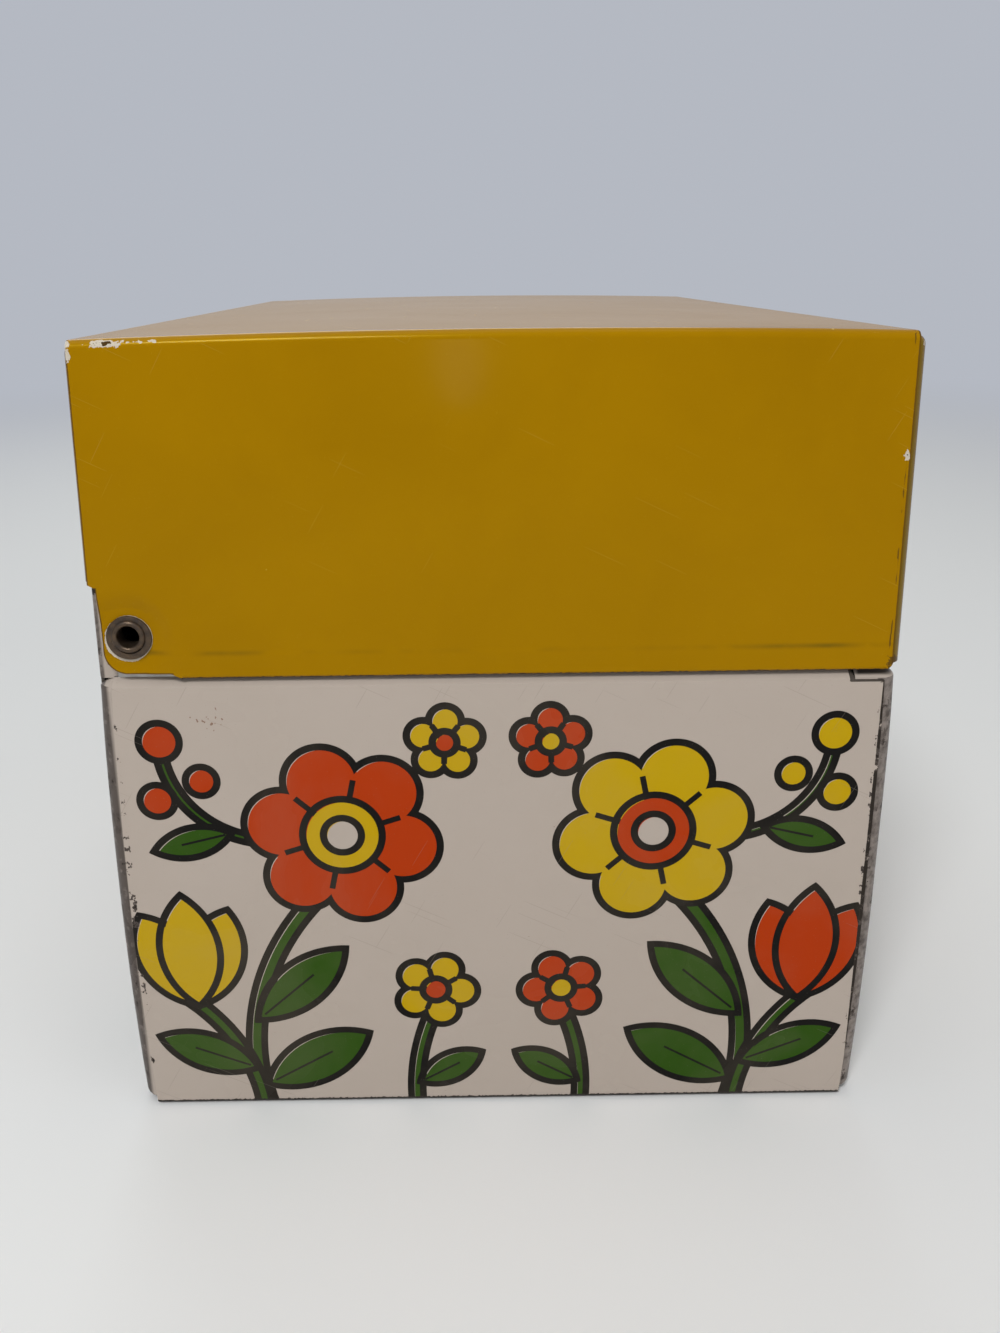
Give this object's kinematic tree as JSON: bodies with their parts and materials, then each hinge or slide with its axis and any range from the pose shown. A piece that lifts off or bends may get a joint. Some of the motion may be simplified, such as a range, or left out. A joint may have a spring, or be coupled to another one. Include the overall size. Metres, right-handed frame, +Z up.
{
  "type": "recipe card box",
  "caption": "Tinplate box with a deep hinged lid that holds index cards on edge; the lid turns on hollow eyelets and closes over a stepped-in neck.",
  "frame": {"origin": "middle of the bottom face, which rests on the table", "axes": "+Z up; +X along the box's length, the way the cards stand side on; -Y out of the front wall, so the hinge is at +Y"},
  "size_m": [0.1336, 0.089, 0.0935],
  "materials": {
    "printed_body_enamel": "off-white stove enamel with a printed floral band, gloss varnish, worn to dark metal on the corner bends",
    "lid_enamel": "golden yellow stove enamel, gloss, chipped to primer and metal at the corners",
    "aged_brass": "darkened, dull"
  },
  "bodies": {
    "box": {"body_wrap": "printed_body_enamel", "front_wall": "printed_body_enamel", "rear_wall": "printed_body_enamel", "hinge_eyelet_left": "aged_brass", "hinge_eyelet_right": "aged_brass", "hinge_washer_left": "aged_brass", "hinge_washer_right": "aged_brass"},
    "lid": {"lid_wrap": "lid_enamel", "lid_front": "lid_enamel", "lid_rear": "lid_enamel"}
  },
  "joints": [
    {"name": "lid_hinge", "type": "hinge", "parent": "box", "child": "lid", "pos_m": [0, 0.0404, 0.062], "axis": [-1, 0, 0], "range_deg": [0, 104]}
  ]
}
